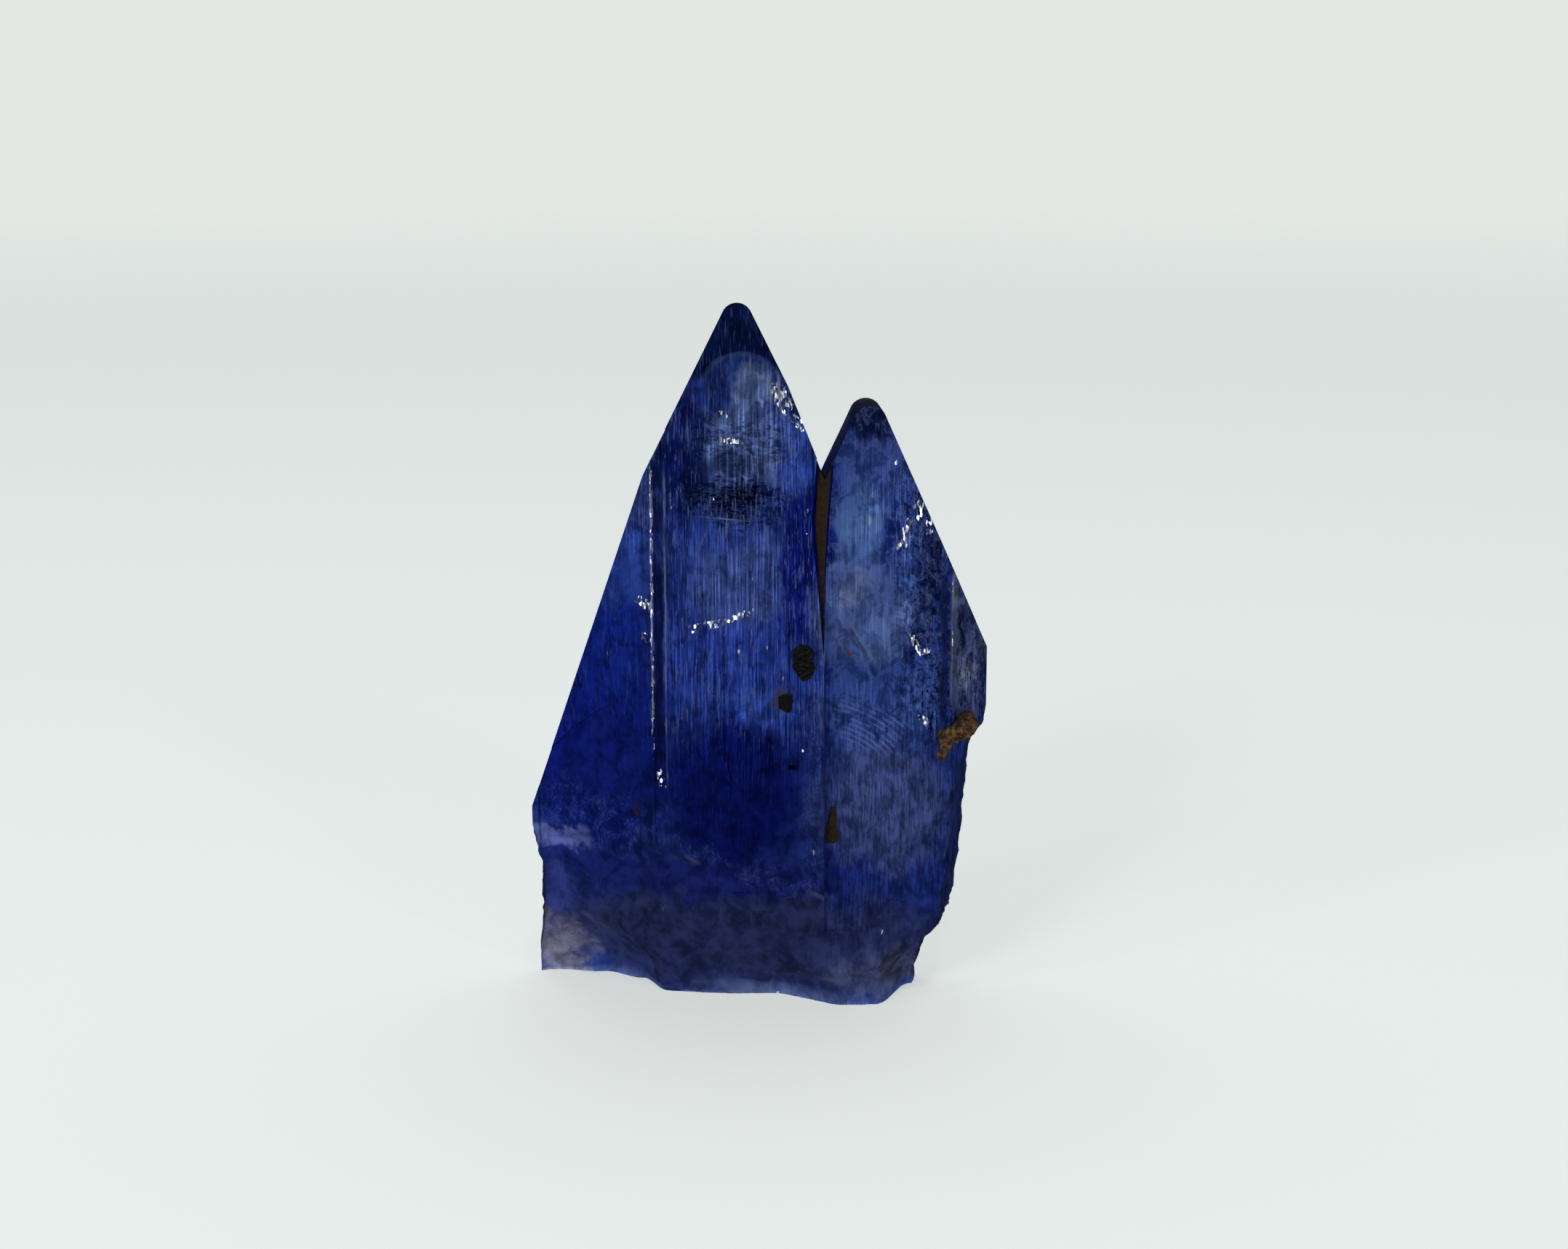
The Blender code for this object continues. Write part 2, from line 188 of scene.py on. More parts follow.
class FinishSettings(bpy.types.PropertyGroup):
    """The colours of the crystal and of its grains."""

    passed: colour("Body Colour", "The colour that the crystal lets through", (0.25, 0.375, 0.70))
    density: number("Density", "How strongly the crystal absorbs, for each metre", 800.0)
    clearness: number("Clearness", "How much of the light passes in, past the haze", 0.75, 0.5, 1.0)
    graphite: colour("Graphite", "The colour of the graphite", (0.003, 0.003, 0.004))
    rust: colour("Rust", "The colour of the rusty matrix", (0.024, 0.009, 0.0025))


class StageSettings(bpy.types.PropertyGroup):
    """The pale floor, the soft light and the camera."""

    backdrop: colour("Backdrop", "The colour of the backdrop", (0.775, 0.815, 0.791))
    floor_glow: number("Floor Glow", "How much light the floor gives by itself", 0.6)
    lens: number("Lens", "The camera's focal length, in millimetres", 58.44, 10.0)
    elevation: number("Elevation", "How high the camera stands", math.radians(12.0), subtype="ANGLE")
    distance: number("Distance", "From the camera to the crystal's front face, in millimetres", 90.0)


class Wire:
    """An output of a shader node that can be used in arithmetic: each sum or product adds a Math node."""

    def __init__(self, recipe, socket):
        self.recipe = recipe
        self.socket = socket

    def calc(self, operation, *others):
        return self.recipe.calc(operation, self, *others)

    def __add__(self, other):
        return self.calc("ADD", other)

    def __sub__(self, other):
        return self.calc("SUBTRACT", other)

    def __rsub__(self, other):
        return self.recipe.calc("SUBTRACT", other, self)

    def __mul__(self, other):
        return self.calc("MULTIPLY", other)

    def __abs__(self):
        return self.calc("ABSOLUTE")

    def long(self):
        return self.recipe.vector("LENGTH", self, output="Value")

    def between(self, low, high, to_low=0.0, to_high=1.0):
        """A smooth way from to_low, where the wire's value is low, to to_high, where it is high."""
        sockets = {"Value": self, "From Min": low, "From Max": high, "To Min": to_low, "To Max": to_high}
        return self.recipe.wire("ShaderNodeMapRange", {"interpolation_type": "SMOOTHSTEP"}, sockets)

    __radd__ = __add__
    __rmul__ = __mul__


class Recipe:
    """The nodes of one material or of the world."""

    def __init__(self, owner):
        self.owner = owner
        owner.use_nodes = True
        self.tree = owner.node_tree
        self.tree.nodes.clear()

    def node(self, kind, settings=None, sockets=None):
        """Adds a node, sets its settings and then its sockets, and gives back the node."""
        node = self.tree.nodes.new(kind)
        for key, value in (settings or {}).items():
            setattr(node, key, value)
        for key, value in (sockets or {}).items():
            if isinstance(value, Wire):
                self.tree.links.new(value.socket, node.inputs[key])
            else:
                node.inputs[key].default_value = value
        return node

    def wire(self, kind, settings=None, sockets=None, output=0):
        return Wire(self, self.node(kind, settings, sockets).outputs[output])

    def calc(self, operation, *values):
        return self.wire("ShaderNodeMath", {"operation": operation}, dict(enumerate(values)))

    def split(self, vector):
        node = self.node("ShaderNodeSeparateXYZ", None, {0: vector})
        return [Wire(self, socket) for socket in node.outputs]

    def vector(self, operation, *vectors, output=0):
        return self.wire("ShaderNodeVectorMath", {"operation": operation}, dict(enumerate(vectors)), output)

    def scaled(self, vector, factor):
        return self.wire("ShaderNodeVectorMath", {"operation": "SCALE"}, {0: vector, "Scale": factor})

    def dot(self, first, second):
        return self.vector("DOT_PRODUCT", first, second, output="Value")

    def place(self):
        """The place on the piece, as a vector in millimetres in the crystal's axes."""
        inside = self.wire("ShaderNodeTexCoord", output="Object")
        return self.scaled(self.vector("SUBTRACT", inside, AXES_AT), 1.0 / MM)

    def noise(self, place, size, detail=2.0, roughness=0.5, distortion=0.0, output="Fac"):
        """Noise from 0 to 1, whose grains are as many millimetres across as size says on each axis."""
        sockets = {"Vector": self.vector("DIVIDE", place, size), "Scale": 1.0}
        sockets.update({"Detail": detail, "Roughness": roughness, "Distortion": distortion})
        return self.wire("ShaderNodeTexNoise", None, sockets, output)

    def mix(self, share, first, second):
        """From colour first to colour second."""
        first, second = [c if isinstance(c, Wire) else (*c, 1.0) for c in (first, second)]
        return self.wire("ShaderNodeMix", {"data_type": "RGBA"}, {0: share, 6: first, 7: second}, output=2)

    def bump(self, height, strength, depth, under=None):
        """Bumps whose height runs over depth millimetres."""
        sockets = {"Height": height, "Strength": strength, "Distance": depth * MM}
        if under:
            sockets["Normal"] = under
        return self.wire("ShaderNodeBump", None, sockets)

    def finish(self, sockets, volume=None):
        ends = {"Surface": self.wire("ShaderNodeBsdfPrincipled", None, sockets)}
        if volume:
            ends["Volume"] = self.wire("ShaderNodeVolumeAbsorption", None, volume)
        self.node("ShaderNodeOutputMaterial", None, ends)
        return self.owner


REFRACTIVE_INDEX = 1.69
BETWEEN_PATCHES = (0.025, 0.065, 0.38)  # the crystal's colour outside the patches
ARC_MIDDLE, ARC_RADIUS = (-0.65, 0.0, 22.66), 1.46  # the lower edge of the tall tip's dark cap of painted shade
RIPPLE_MIDDLE = (1.9, 0.0, 7.3)
FACET = (0.06, 0.1, 0.14)  # the size of a flashing facet
FLASHING = 0.0005  # the share of the facets that flash where there is no row of them
MAIN_LEFT, SEAM = -3.8, 2.3  # where the main face starts and ends

# Patches of colour in the crystal, seen from the front: the middle, half size, colour and share of each
PATCHES = {
    "left_face": ((-6.0, 10.5), (3.2, 5.2), (0.003, 0.02, 0.37), 1.0),
    "left_middle": ((-5.6, 14.2), (1.5, 2.6), (0.005, 0.038, 0.5), 1.0),
    "left_light": ((-5.0, 16.6), (1.2, 1.6), (0.056, 0.15, 0.77), 0.9),
    "left_top": ((-4.6, 19.2), (0.9, 1.3), (0.081, 0.15, 0.54), 0.8),
    "main_middle": ((-0.6, 13.0), (3.2, 2.7), (0.04, 0.095, 0.58), 1.0),
    "main_light": ((-0.7, 16.2), (1.8, 1.8), (0.13, 0.21, 0.64), 0.9),
    "main_right": ((1.6, 16.6), (1.0, 3.2), (0.003, 0.013, 0.31), 0.95),
    "main_high": ((-0.6, 20.9), (2.0, 1.6), (0.2, 0.3, 0.68), 1.0),
    "high_right": ((1.1, 20.6), (0.6, 1.4), (0.074, 0.19, 0.9), 0.8),
    "high_left": ((-2.6, 20.6), (0.9, 2.3), (0.004, 0.015, 0.19), 0.95),
    "milky_top": ((-0.3, 22.9), (0.75, 0.8), (0.32, 0.46, 0.86), 0.95),
    "top_left": ((-1.5, 22.9), (0.5, 0.7), (0.012, 0.038, 0.22), 0.9),
    "top_dark": ((-0.1, 22.1), (0.4, 0.3), (0.012, 0.026, 0.11), 0.7),
    "fracture": ((-0.8, 18.85), (1.1, 0.75), (0.001, 0.004, 0.035), 1.0),
    "fracture_high": ((-1.0, 20.15), (1.1, 0.4), (0.012, 0.03, 0.11), 0.75),
    "fracture_left": ((-2.4, 19.4), (0.5, 0.9), (0.004, 0.012, 0.1), 0.8),
    "below_fracture": ((-1.0, 17.6), (1.6, 0.5), (0.05, 0.12, 0.62), 0.6),
    "navy": ((-1.0, 8.3), (2.6, 2.9), (0.001, 0.006, 0.22), 1.0),
    "main_light_low": ((-0.2, 11.6), (1.3, 0.6), (0.07, 0.17, 0.85), 0.7),
    "main_corner": ((1.9, 8.2), (0.5, 3.2), (0.022, 0.045, 0.3), 0.85),
    "short_tip": ((3.9, 22.1), (1.0, 1.1), (0.012, 0.024, 0.1), 1.0),
    "short_high": ((3.9, 19.9), (1.2, 1.5), (0.093, 0.17, 0.58), 1.0),
    "short_light": ((3.5, 18.0), (0.9, 1.5), (0.22, 0.41, 0.9), 0.9),
    "short_middle": ((3.6, 14.7), (1.8, 1.9), (0.25, 0.39, 0.84), 1.0),
    "short_low": ((4.1, 11.3), (2.2, 1.9), (0.075, 0.16, 0.56), 1.0),
    "short_foot": ((4.4, 7.7), (2.4, 2.6), (0.13, 0.175, 0.42), 1.0),
    "short_left": ((2.9, 16.2), (0.35, 1.2), (0.28, 0.42, 0.95), 0.7),
    "short_shade": ((4.3, 15.7), (0.9, 0.35), (0.09, 0.14, 0.4), 0.5),
    "short_veil": ((3.2, 15.9), (0.6, 0.6), (0.42, 0.52, 0.85), 0.85),
    "short_spot": ((3.75, 18.3), (0.3, 0.25), (0.4, 0.65, 1.0), 0.7),
    "short_blue": ((5.3, 16.7), (0.3, 0.9), (0.14, 0.32, 1.0), 0.8),
    "short_right": ((5.95, 16.8), (0.55, 2.6), (0.02, 0.04, 0.2), 0.9),
    "short_hollow": ((5.7, 13.9), (0.5, 0.6), (0.02, 0.035, 0.16), 0.8),
    "far_right": ((7.5, 13.4), (0.7, 2.6), (0.2, 0.26, 0.5), 0.9),
    "far_dark": ((7.45, 14.2), (0.35, 0.7), (0.02, 0.035, 0.14), 0.85),
    "far_light": ((7.5, 12.5), (0.45, 0.6), (0.6, 0.65, 0.85), 0.75),
    "foot": ((-0.5, 2.2), (8.9, 2.4), (0.066, 0.08, 0.23), 1.0),
    "foot_top": ((-1.6, 5.0), (6.0, 0.8), (0.022, 0.03, 0.33), 0.9),
    "bright_band": ((-7.4, 6.1), (1.2, 0.42), (0.32, 0.38, 1.0), 1.0),
    "foot_pale": ((-7.6, 4.0), (0.6, 1.2), (0.09, 0.11, 0.45), 0.7),
    "foot_left": ((-7.8, 1.1), (1.5, 1.6), (0.42, 0.38, 0.46), 0.75),
    "foot_right": ((4.2, 1.2), (1.8, 1.0), (0.22, 0.24, 0.4), 0.7),
}

# Thin lines in the front faces, some of them painted highlights and glints: where each starts and ends, its
# half width, its colour and its share
LINES = {
    "shelf": ((-3.62, 20.6), (-3.62, 8.2), 0.17, (0.01, 0.015, 0.07), 0.9),
    # Painted highlights along both edges of the shelf
    "shelf_left_highlight": ((-3.85, 20.3), (-3.85, 10.4), 0.03, (1.0, 1.0, 1.0), 0.9),
    "shelf_right_highlight": ((-3.38, 20.2), (-3.36, 8.2), 0.035, (0.8, 0.9, 1.0), 0.7),
    "right_dark": ((6.53, 16.5), (6.53, 10.4), 0.15, (0.02, 0.025, 0.08), 0.85),
    "right_light": ((6.9, 16.3), (6.9, 11.0), 0.13, (0.5, 0.58, 0.85), 0.5),
    # Painted glint on the right narrow facet
    "right_glint": ((6.9, 16.5), (6.95, 14.9), 0.1, (1.0, 1.0, 1.0), 0.8),
    "seam": ((2.29, 13.5), (2.29, 4.2), 0.045, (0.03, 0.04, 0.14), 0.8),
    "crack_high": ((-2.4, 18.42), (-0.4, 18.25), 0.03, (0.7, 0.85, 1.0), 0.6),
    "crack_low": ((-2.3, 12.0), (0.3, 11.75), 0.04, (0.2, 0.22, 0.3), 0.4),
    "halo": ((0.52, 11.35), (1.0, 12.3), 0.36, (0.2, 0.17, 0.12), 0.85),
    "stain": ((-4.7, 7.95), (-4.35, 7.2), 0.13, (0.1, 0.05, 0.04), 0.7),
    # Painted glints: pale streaks up the tall tip where the striation edges catch the light
    "glint_streak_high": ((0.62, 23.6), (0.75, 21.9), 0.05, (0.9, 0.95, 1.0), 0.8),
    "glint_streak_arc": ((0.26, 23.7), (0.42, 22.2), 0.045, (0.7, 0.8, 1.0), 0.7),
    "glint_streak_low": ((0.98, 21.8), (1.02, 20.6), 0.04, (0.5, 0.62, 1.0), 0.7),
    "glint_streak_tip": ((-0.33, 24.1), (-0.3, 23.3), 0.04, (0.5, 0.62, 1.0), 0.7),
    "glint_streak_left": ((-2.55, 22.3), (-2.5, 20.6), 0.035, (0.5, 0.55, 0.8), 0.6),
    "healed_high": ((2.6, 15.2), (4.15, 12.75), 0.07, (0.07, 0.08, 0.13), 0.5),
    "healed_low": ((4.0, 12.95), (5.4, 11.2), 0.07, (0.07, 0.08, 0.13), 0.5),
    "healed_edge": ((2.75, 15.2), (4.3, 12.8), 0.04, (0.5, 0.56, 0.75), 0.6),
    "speck": ((0.9, 9.3), (1.36, 9.32), 0.1, (0.0, 0.0, 0.0), 1.0),
    "rust_dot": ((3.05, 13.34), (3.3, 13.34), 0.07, (0.5, 0.1, 0.02), 0.9),
    "cream_left": ((-3.0, 6.1), (-2.1, 5.5), 0.08, (0.3, 0.27, 0.3), 0.5),
    "cream_right": ((1.6, 4.75), (2.9, 4.1), 0.09, (0.36, 0.33, 0.34), 0.55),
}

# Rough strips, crossed by pale wisps that are partly painted highlights on their relief: where each starts
# and ends, and its half width
ROUGH = [
    ((-8.6, 7.6), (-3.2, 6.4), 1.1),
    ((-3.9, 6.6), (2.4, 4.3), 0.5),
    ((1.9, 13.0), (1.9, 4.3), 0.35),
    ((5.4, 20.5), (5.9, 10.8), 0.8),
    ((7.6, 16.0), (7.6, 10.4), 0.7),
]

# Rows of tiny facets that flash: where each row starts and ends, and its half width
FLASHES = [
    ((-2.8, 14.3), (-1.2, 14.65), 0.15), ((-1.5, 14.6), (-0.1, 15.05), 0.13),
    ((-4.5, 15.5), (-3.75, 15.0), 0.17), ((-4.3, 14.2), (-3.8, 13.75), 0.14),
    ((0.5, 23.1), (1.05, 22.0), 0.26), ((0.66, 22.8), (0.95, 22.2), 0.2),
    ((1.0, 22.0), (1.65, 21.45), 0.15), ((-1.5, 21.12), (-0.5, 21.03), 0.09),
    ((-1.4, 22.2), (-1.1, 21.8), 0.1), ((-3.84, 20.6), (-3.84, 9.5), 0.05),
    ((-3.7, 9.2), (-3.5, 8.4), 0.12), ((5.75, 19.1), (5.45, 18.2), 0.2),
    ((5.3, 18.4), (4.95, 17.1), 0.16), ((6.0, 18.6), (5.9, 17.6), 0.12),
    ((6.85, 16.3), (6.98, 15.2), 0.12), ((6.9, 14.6), (6.95, 11.5), 0.07),
    ((5.3, 14.3), (5.7, 13.35), 0.1), ((5.6, 13.4), (6.15, 13.6), 0.11),
    ((7.3, 13.5), (7.5, 12.4), 0.16), ((7.6, 13.3), (7.95, 13.0), 0.12),
    ((5.6, 11.3), (6.0, 10.8), 0.12),
]


def patch_share(recipe, place, middle, half, share):
    """The share inside an ellipse in X and Z, falling softly to 0 around it."""
    out = recipe.vector("SUBTRACT", place, (middle[0], 0.0, middle[1]))
    out = recipe.vector("DIVIDE", out, (half[0], 1.0, half[1]))
    return out.long().between(1.25, 0.65, 0.0, share)


def line_share(recipe, place, start, end, half_width, share):
    """The share along a line in X and Z, falling to 0 beside it and towards its ends."""
    along = Vector(end) - Vector(start)
    way = along.normalized()
    out = recipe.vector("SUBTRACT", place, (start[0], 0.0, start[1]))
    off = abs(recipe.dot(out, (way.y, 0.0, -way.x)))
    on = recipe.dot(out, (way.x, 0.0, way.y))
    fade = min(0.8, along.length / 3)
    ends = on.between(0.0, fade) * on.between(along.length, along.length - fade)
    return off.between(half_width * 1.3, half_width * 0.6, 0.0, share) * ends


def rows_share(recipe, place, rows):
    """The share along rows of facets or rough strips."""
    most = 0.0
    for start, end, half_width in rows:
        most = recipe.calc("MAXIMUM", line_share(recipe, place, start, end, half_width, 1.0), most)
    return most


def flashing_normal(recipe, place, flat, broken, front):
    """The normal, tilted on tiny facets that flash, mostly along the rows, and the share of such facets."""
    cells = recipe.vector("DIVIDE", place, FACET)
    facets = recipe.wire("ShaderNodeTexVoronoi", None, {"Vector": cells, "Scale": 1.0}, "Color")
    left, up, chosen = recipe.split(facets)
    zone = rows_share(recipe, flat, FLASHES)
    picked = recipe.calc("GREATER_THAN", chosen + zone * 0.5 - broken * 0.01, 1.0 - FLASHING) * front
    across, upwards = (left - 0.57) * 0.8 * picked, (up * 0.4 + 0.17) * picked
    tilt = recipe.wire("ShaderNodeCombineXYZ", None, {"X": across, "Z": upwards})
    straight = recipe.wire("ShaderNodeNewGeometry", output="Normal")
    return recipe.vector("NORMALIZE", recipe.vector("ADD", straight, tilt)), picked


def tanzanite_finish(colours):
    """Deep blue that lets light through, hazy in its milky patches, with striations up its faces."""
    recipe = Recipe(bpy.data.materials.new("tanzanite"))
    place = recipe.place()
    x, y, z = recipe.split(place)
    broken = recipe.wire("ShaderNodeAttribute", {"attribute_name": "broken"}, output="Fac")
    short = x.between(2.25, 2.5)

    # Places seen from the front and drifted: soft for patches, more so towards the back, and near for lines
    drift = recipe.noise(place, (1.1, 2.2, 1.3), 3.0, 0.6, output="Color")
    drift = recipe.vector("SUBTRACT", drift, (0.5, 0.5, 0.5))
    flat = recipe.vector("MULTIPLY", place, (1.0, 0.0, 1.0))
    jumble = y.between(2.5, 6.5, 1.0, 4.0)
    soft = recipe.vector("MULTIPLY_ADD", recipe.scaled(drift, jumble), (1.3, 0.0, 2.2), flat)
    near = recipe.vector("MULTIPLY_ADD", drift, (0.12, 0.0, 0.12), flat)

    # The front faces, and the break below them: each lies further back towards its outer edge or its foot
    behind = recipe.calc("MAXIMUM", (MAIN_LEFT - x) * 0.48, (x - 6.75) * 0.96)
    behind = recipe.calc("MAXIMUM", behind, 0.0) + z.between(7.5, 5.0, 0.0, 3.0)
    front = (y - behind).between(1.0, 0.75)

    tone = BETWEEN_PATCHES
    for middle, half, colour, share in PATCHES.values():
        tone = recipe.mix(patch_share(recipe, soft, middle, half, share), tone, colour)

    # Painted shade: the tall tip is dark above an arc, with a thin pale line along the arc
    past_arc = recipe.vector("SUBTRACT", near, ARC_MIDDLE).long() - ARC_RADIUS
    over = z.between(23.0, 23.5) * x.between(2.4, 2.2)
    tone = recipe.mix(past_arc.between(-0.04, 0.14) * over, tone, (0.001, 0.011, 0.12))
    tone = recipe.mix(abs(past_arc).between(0.12, 0.02, 0.0, 0.3) * over, tone, (0.2, 0.32, 0.62))

    # Veils, ragged cracks, crumbs and wisps inside
    veils = recipe.noise(place, (0.6, 0.8, 0.7), 5.0, 0.68, 0.5)
    tone = recipe.scaled(tone, veils.between(0.34, 0.64, 0.5, 1.5))
    unbroken = 1.0 - broken * 0.8
    wisps = abs(veils - 0.52).between(0.03, 0.006) * short * z.between(9.5, 12.5)
    tone = recipe.mix(wisps * 0.4, tone, (0.34, 0.46, 0.85))
    cracks = recipe.noise(place, (0.42, 0.6, 0.17), 4.0, 0.7, 1.1)
    torn = patch_share(recipe, soft, (-0.8, 18.9), (1.6, 1.0), 1.0)
    torn = torn + patch_share(recipe, soft, (-0.7, 21.1), (1.9, 1.0), 0.75)
    crumbs = recipe.noise(place, (0.2, 0.3, 0.3), 4.0, 0.7, 0.8)
    crumbled = x.between(4.4, 5.4) * z.between(9.0, 12.0, 0.3, 0.9) * unbroken
    rain = recipe.noise(place, (0.06, 0.15, 0.7), 2.0, 0.68, 0.3)
    fibrous = short * z.between(13.5, 11.0) * unbroken
    change = (cracks.between(0.42, 0.56, 0.2, 1.45) - 1.0) * torn
    change = change + (crumbs.between(0.42, 0.58, 0.25, 1.6) - 1.0) * crumbled
    change = change + (rain.between(0.38, 0.6, 0.4, 1.9) - 1.0) * fibrous
    tone = recipe.scaled(tone, change + 1.0)
    squiggles = abs(cracks - 0.53).between(0.026, 0.006) * torn
    tone = recipe.mix(squiggles * 0.6, tone, (0.2, 0.29, 0.6))
    # Pale wisps over the rough strips, partly painted highlights where the relief catches the light
    wrinkles_and_highlights = abs(crumbs - 0.52).between(0.032, 0.006) * rows_share(recipe, soft, ROUGH)
    wrinkles_and_highlights = wrinkles_and_highlights * veils.between(0.42, 0.55)
    tone = recipe.mix(wrinkles_and_highlights * 0.6, tone, (0.24, 0.32, 0.68))
    rings = recipe.vector("SUBTRACT", near, RIPPLE_MIDDLE).long()
    ripples = recipe.calc("SINE", rings * 34.0).between(0.2, 0.9) * veils.between(0.4, 0.52)
    rippled = patch_share(recipe, soft, (4.0, 10.7), (1.3, 0.9), 0.75)
    tone = recipe.mix(ripples * rippled, tone, (0.42, 0.54, 0.95))

    # Striations: dark and light streaks, the light ones partly painted glints off the striation edges, and
    # short pale dash marks that are painted glints
    fine = recipe.noise(place, (0.045, 0.09, 2.0), 2.0, 0.6)
    wide = recipe.noise(place, (0.17, 0.3, 5.0), 2.0, 0.6)
    lengths = recipe.noise(place, (0.5, 0.8, 0.9))
    streaks = (fine * 0.5 + wide * 0.5).between(0.36, 0.5, -0.72, 0.0)
    streaks = streaks + fine.between(0.5, 0.62, 0.0, 1.8)
    strokes = patch_share(recipe, soft, (4.7, 18.3), (1.1, 2.0), 0.6)
    striated = (x.between(SEAM, SEAM + 0.3, 1.0, 0.35) + strokes) * (1.0 - broken)
    striated = striated * z.between(6.0, 11.8, 0.12, 1.0) * z.between(21.8, 23.2, 1.0, 0.5)
    smooth_left = x.between(MAIN_LEFT - 0.2, MAIN_LEFT, 0.25, 1.0)
    striated = striated * recipe.calc("MAXIMUM", smooth_left, z.between(16.0, 18.5))
    striated = striated * lengths.between(0.25, 0.6, 0.25, 1.0)
    tone = recipe.scaled(tone, streaks * striated + 1.0)
    glint_dash_zone = patch_share(recipe, soft, (0.6, 20.9), (1.0, 2.4), 0.4)
    glint_dash_zone = striated * z.between(9.5, 12.0, 0.1, 0.75) + glint_dash_zone
    painted_glint_dashes = rain.between(0.575, 0.63) * glint_dash_zone * front
    tone = recipe.mix(painted_glint_dashes, tone, (0.36, 0.5, 1.0))

    # Each line breaks up along its length; the shelf edges, the right glint and the streaks up the tip among
    # them are painted highlights and glints
    worn = lengths.between(0.35, 0.52, 0.25, 1.0) * front
    for start, end, half_width, colour, share in LINES.values():
        tone = recipe.mix(line_share(recipe, near, start, end, half_width, share) * worn, tone, colour)

    # Tiny facets over air-filled cracks, which mirror the light
    normal, mirrored = flashing_normal(recipe, place, flat, broken, front)
    tone = recipe.mix(mirrored, tone, (0.85, 0.9, 1.0))
    grit = recipe.noise(place, (0.16, 0.2, 0.16), 3.0, 0.7)
    height = fine * striated + grit * broken * 0.6
    return recipe.finish(
        {
            "Base Color": tone,
            "Roughness": veils.between(0.4, 0.7, 0.28, 0.34) + broken * 0.1,
            "Metallic": mirrored * 0.7,
            "IOR": REFRACTIVE_INDEX,
            "Transmission Weight": colours.clearness,
            "Specular IOR Level": 0.1,
            "Specular Tint": (0.25, 0.4, 1.0, 1.0),
            "Coat Weight": 0.4,
            "Coat Roughness": 0.05,
            "Coat IOR": REFRACTIVE_INDEX,
            "Normal": recipe.bump(height, 0.4, 0.03, normal),
        },
        {"Color": (*colours.passed, 1.0), "Density": colours.density},
    )


def graphite_finish(colours):
    """Nearly black, with dull metallic flakes."""
    recipe = Recipe(bpy.data.materials.new("graphite"))
    flakes = recipe.noise(recipe.place(), (0.14, 0.14, 0.14), 4.0, 0.6)
    shiny = flakes.between(0.55, 0.75)
    return recipe.finish({
        "Base Color": recipe.mix(shiny, tuple(colours.graphite), (0.02, 0.022, 0.025)),
        "Roughness": flakes.between(0.3, 0.7, 0.3, 0.6),
        "Metallic": 0.1,
        "Normal": recipe.bump(flakes, 0.7, 0.06),
    })


def rust_finish(colours):
    """Crumbly brown, ochre on its high spots."""
    recipe = Recipe(bpy.data.materials.new("rusty_matrix"))
    place = recipe.place()
    across = recipe.split(place)[0]
    crumbs = recipe.noise(place, (0.2, 0.2, 0.2), 6.0, 0.65)
    ochre = crumbs.between(0.4, 0.66) * across.between(4.0, 6.0, 0.06, 0.8)
    return recipe.finish({
        "Base Color": recipe.mix(ochre, tuple(colours.rust), (0.26, 0.13, 0.03)),
        "Roughness": 0.85,
        "Normal": recipe.bump(crumbs, 0.9, 0.1),
    })


def floor_finish(settings):
    """A pale matt floor that glows a little and fades into the backdrop far away."""
    recipe = Recipe(bpy.data.materials.new("pale_floor"))
    inside = recipe.wire("ShaderNodeTexCoord", output="Object")
    return recipe.finish({
        "Base Color": (0.7, 0.725, 0.717, 1.0),
        "Roughness": 0.9,
        "Specular IOR Level": 0.0,
        "Emission Color": (*settings.backdrop, 1.0),
        "Emission Strength": settings.floor_glow,
        "Alpha": inside.long().between(0.15, 0.7, 1.0, 0.0),
    })


def room_light(settings):
    """Soft light from a pale backdrop behind the crystal; the room grows dim towards its front."""
    recipe = Recipe(bpy.data.worlds.new("soft_room"))
    behind = recipe.split(recipe.wire("ShaderNodeTexCoord", output="Generated"))[1]
    colour = recipe.mix(behind.between(-0.2, 0.8), (0.08, 0.084, 0.088), tuple(settings.backdrop))
    light = recipe.wire("ShaderNodeBackground", None, {"Color": colour, "Strength": 1.0})
    recipe.node("ShaderNodeOutputWorld", None, {"Surface": light})
    recipe.owner.cycles_visibility.glossy = False
    return recipe.owner


def between(x, stops, smooth=True):
    """The value at x on a smooth curve, or on straight lines, through stops of (x, value)."""
    if x <= stops[0][0]:
        return stops[0][1]
    for (x_a, value_a), (x_b, value_b) in zip(stops, stops[1:]):
        if x <= x_b:
            share = (x - x_a) / (x_b - x_a)
            if smooth:
                share = share * share * (3 - 2 * share)
            return value_a + (value_b - value_a) * share
    return stops[-1][1]


def only(obj):
    """Leaves obj alone selected, in object mode."""
    if bpy.context.object and bpy.context.object.mode != "OBJECT":
        bpy.ops.object.mode_set(mode="OBJECT")
    bpy.ops.object.select_all(action="DESELECT")
    if obj:
        obj.select_set(True)
        bpy.context.view_layer.objects.active = obj
    return obj


def edit(obj):
    """Takes obj into edit mode with all of it selected."""
    only(obj)
    bpy.ops.object.mode_set(mode="EDIT")
    bpy.ops.mesh.select_mode(type="FACE")
    bpy.ops.mesh.select_all(action="SELECT")


def added(name):
    """Names the primitive that was just added."""
    obj = bpy.context.object
    obj.name = name
    obj.data.name = name
    return obj


def leave_edit():
    """Goes back to object mode."""
    bpy.ops.object.mode_set(mode="OBJECT")


def outwards(obj):
    """Turns the faces of a closed piece outwards."""
    edit(obj)
    bpy.ops.mesh.normals_make_consistent(inside=False)
    leave_edit()
    return obj


